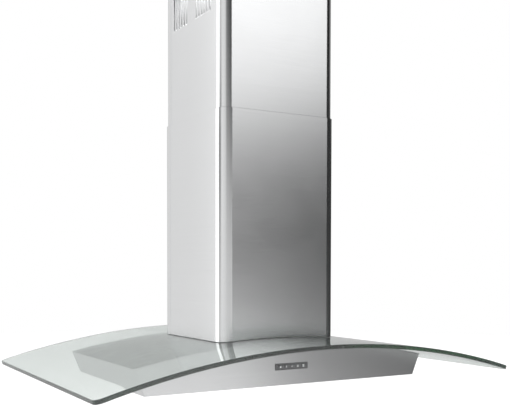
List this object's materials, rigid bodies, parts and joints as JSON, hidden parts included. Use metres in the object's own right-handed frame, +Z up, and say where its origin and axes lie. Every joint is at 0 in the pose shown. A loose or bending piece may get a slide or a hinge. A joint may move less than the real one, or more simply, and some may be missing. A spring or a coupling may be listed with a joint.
{
  "type": "island range hood",
  "caption": "Ceiling-hung island extractor hood with an arched glass canopy, a slim steel body with push-button controls, and a telescopic vented steel chimney.",
  "frame": {"origin": "centre of the ceiling plate's upper face, where the hood meets the ceiling", "axes": "+Z up to the ceiling, -Y towards the controls, +X to the right of someone facing the controls"},
  "size_m": [0.9, 0.6, 0.87],
  "materials": {
    "brushed_steel": "fine horizontal brushing, satin",
    "zinc_steel": "galvanised sheet steel, dull",
    "motor_steel": "plated motor case, dull",
    "canopy_glass": "clear tempered float glass with green polished edges",
    "lamp_glass": "frosted lens",
    "filter_aluminium": "satin sheet aluminium",
    "black_rubber": "matt moulded rubber",
    "dark_plastic": "fine matt moulding",
    "grey_plastic": "matt moulding",
    "key_plastic": "dark satin keys with light marks",
    "board_green": "solder-resist coated board"
  },
  "bodies": {
    "ceiling_frame": {"ceiling_plate": "zinc_steel", "upper_post_front_left": "zinc_steel", "upper_post_front_right": "zinc_steel", "upper_post_rear_left": "zinc_steel", "upper_post_rear_right": "zinc_steel", "upper_tie_frame": "zinc_steel", "upper_chimney_bracket_left": "zinc_steel", "upper_chimney_bracket_right": "zinc_steel", "upper_chimney_front": "brushed_steel", "upper_chimney_rear": "brushed_steel"},
    "canopy": {"lower_chimney_front": "brushed_steel", "lower_chimney_rear": "brushed_steel", "canopy_body": "brushed_steel", "canopy_top_plate": "brushed_steel", "bottom_panel": "brushed_steel", "lamp_housing_front_left": "brushed_steel", "lamp_housing_front_right": "brushed_steel", "lamp_housing_rear_left": "brushed_steel", "lamp_housing_rear_right": "brushed_steel", "clamp_ring": "zinc_steel", "lower_tie_frame": "zinc_steel", "motor_bracket": "zinc_steel", "damper_pin": "zinc_steel", "lower_post_front_left": "zinc_steel", "lower_post_front_right": "zinc_steel", "lower_post_rear_left": "zinc_steel", "lower_post_rear_right": "zinc_steel", "clamp_bolt_front_left": "zinc_steel", "clamp_bolt_front_right": "zinc_steel", "clamp_bolt_rear_left": "zinc_steel", "clamp_bolt_rear_right": "zinc_steel", "blower_motor": "motor_steel", "glass_canopy": "canopy_glass", "lamp_lens_front_left": "lamp_glass", "lamp_lens_front_right": "lamp_glass", "lamp_lens_rear_left": "lamp_glass", "lamp_lens_rear_right": "lamp_glass", "motor_capacitor": "filter_aluminium", "chimney_base_seal": "black_rubber", "glass_gasket": "black_rubber", "control_bezel": "dark_plastic", "cable_gland": "dark_plastic", "blower_housing_left": "grey_plastic", "blower_housing_right": "grey_plastic", "outlet_collar": "grey_plastic", "wiring_box": "grey_plastic", "control_board": "board_green"},
    "impeller": {"impeller": "grey_plastic", "motor_shaft": "zinc_steel"},
    "damper_front": {"damper_flap_front": "filter_aluminium"},
    "damper_rear": {"damper_flap_rear": "filter_aluminium"},
    "filter_left": {"grease_filter_left": "filter_aluminium"},
    "filter_right": {"grease_filter_right": "filter_aluminium"},
    "latch_left": {"filter_latch_left": "dark_plastic"},
    "latch_right": {"filter_latch_right": "dark_plastic"},
    "button_light": {"button_light": "key_plastic"},
    "button_off": {"button_off": "key_plastic"},
    "button_speed_low": {"button_speed_low": "key_plastic"},
    "button_speed_mid": {"button_speed_mid": "key_plastic"},
    "button_speed_high": {"button_speed_high": "key_plastic"}
  },
  "joints": [
    {"name": "canopy_height", "type": "slide", "parent": "ceiling_frame", "child": "canopy", "axis": [0, 0, 1], "range_m": [-0.06, 0.1]},
    {"name": "impeller_spin", "type": "hinge", "parent": "canopy", "child": "impeller", "pos_m": [0, 0, -0.6549], "axis": [1, 0, 0], "continuous": true},
    {"name": "damper_front_swing", "type": "hinge", "parent": "canopy", "child": "damper_front", "pos_m": [0, 0, -0.5166], "axis": [-1, 0, 0], "range_deg": [0, 75]},
    {"name": "damper_rear_swing", "type": "hinge", "parent": "canopy", "child": "damper_rear", "pos_m": [0, 0, -0.5166], "axis": [1, 0, 0], "range_deg": [0, 75]},
    {"name": "filter_left_tilt", "type": "hinge", "parent": "canopy", "child": "filter_left", "pos_m": [-0.111, 0.126, -0.868], "axis": [1, 0, 0], "range_deg": [0, 60]},
    {"name": "filter_left_latch", "type": "slide", "parent": "filter_left", "child": "latch_left", "axis": [0, 1, 0], "range_m": [0, 0.004], "stiffness_N_per_m": 400},
    {"name": "filter_right_tilt", "type": "hinge", "parent": "canopy", "child": "filter_right", "pos_m": [0.111, 0.126, -0.868], "axis": [1, 0, 0], "range_deg": [0, 60]},
    {"name": "filter_right_latch", "type": "slide", "parent": "filter_right", "child": "latch_right", "axis": [0, 1, 0], "range_m": [0, 0.004], "stiffness_N_per_m": 400},
    {"name": "button_light_press", "type": "slide", "parent": "canopy", "child": "button_light", "axis": [0, 1, 0], "range_m": [0, 0.0008], "stiffness_N_per_m": 500},
    {"name": "button_off_press", "type": "slide", "parent": "canopy", "child": "button_off", "axis": [0, 1, 0], "range_m": [0, 0.0008], "stiffness_N_per_m": 500},
    {"name": "button_speed_low_press", "type": "slide", "parent": "canopy", "child": "button_speed_low", "axis": [0, 1, 0], "range_m": [0, 0.0008], "stiffness_N_per_m": 500},
    {"name": "button_speed_mid_press", "type": "slide", "parent": "canopy", "child": "button_speed_mid", "axis": [0, 1, 0], "range_m": [0, 0.0008], "stiffness_N_per_m": 500},
    {"name": "button_speed_high_press", "type": "slide", "parent": "canopy", "child": "button_speed_high", "axis": [0, 1, 0], "range_m": [0, 0.0008], "stiffness_N_per_m": 500}
  ]
}
